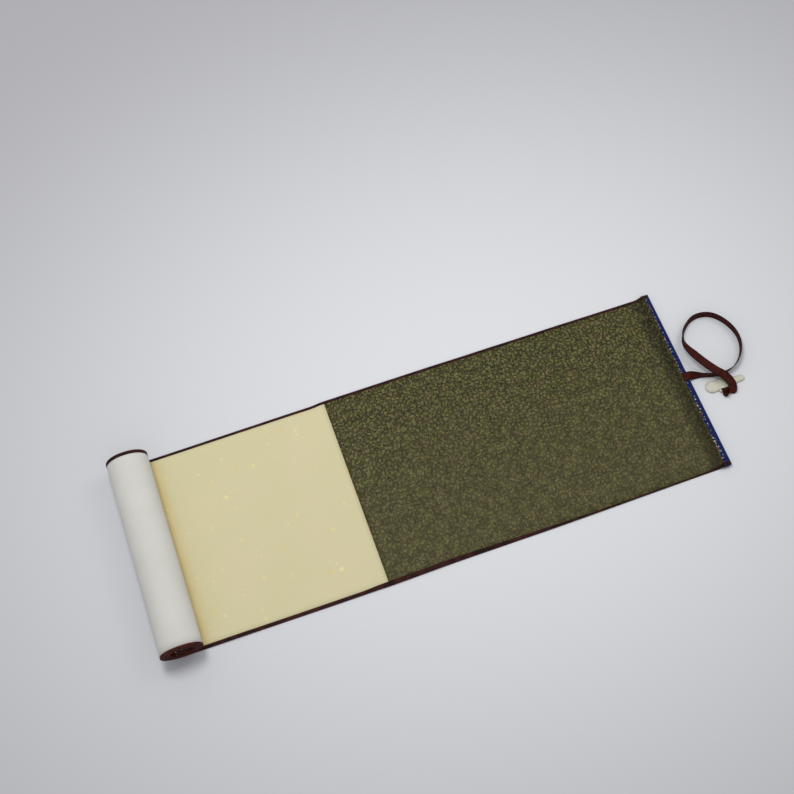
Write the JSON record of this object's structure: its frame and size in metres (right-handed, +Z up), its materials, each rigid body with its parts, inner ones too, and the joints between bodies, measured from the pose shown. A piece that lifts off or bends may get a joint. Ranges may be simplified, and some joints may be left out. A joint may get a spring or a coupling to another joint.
{
  "type": "paper scroll",
  "caption": "Handscroll lying part open: blank paper sheet with a silk head panel and bound edges, wound on a rod at one end, with a stave, a tie ribbon and a toggle at the other.",
  "frame": {"origin": "middle of the footprint of sheet, roll and stave, at the surface that the scroll lies on", "axes": "+X along the scroll from the roll towards the stave, +Y across it, +Z up"},
  "size_m": [0.7555, 0.234, 0.0459],
  "materials": {
    "paper": "matte",
    "silk": "satin",
    "binding_tape": "matte",
    "brocade": "satin",
    "stave_wood": "matte",
    "rod_wood": "matte",
    "ribbon_weave": "matte",
    "bone": "satin"
  },
  "bodies": {
    "root": {"paper_sheet": "paper", "silk_panel": "silk", "near_binding": "binding_tape", "far_binding": "binding_tape", "brocade_cover": "brocade", "stave": "stave_wood", "roller_rod": "rod_wood", "ribbon": "ribbon_weave", "toggle": "bone"}
  },
  "joints": []
}
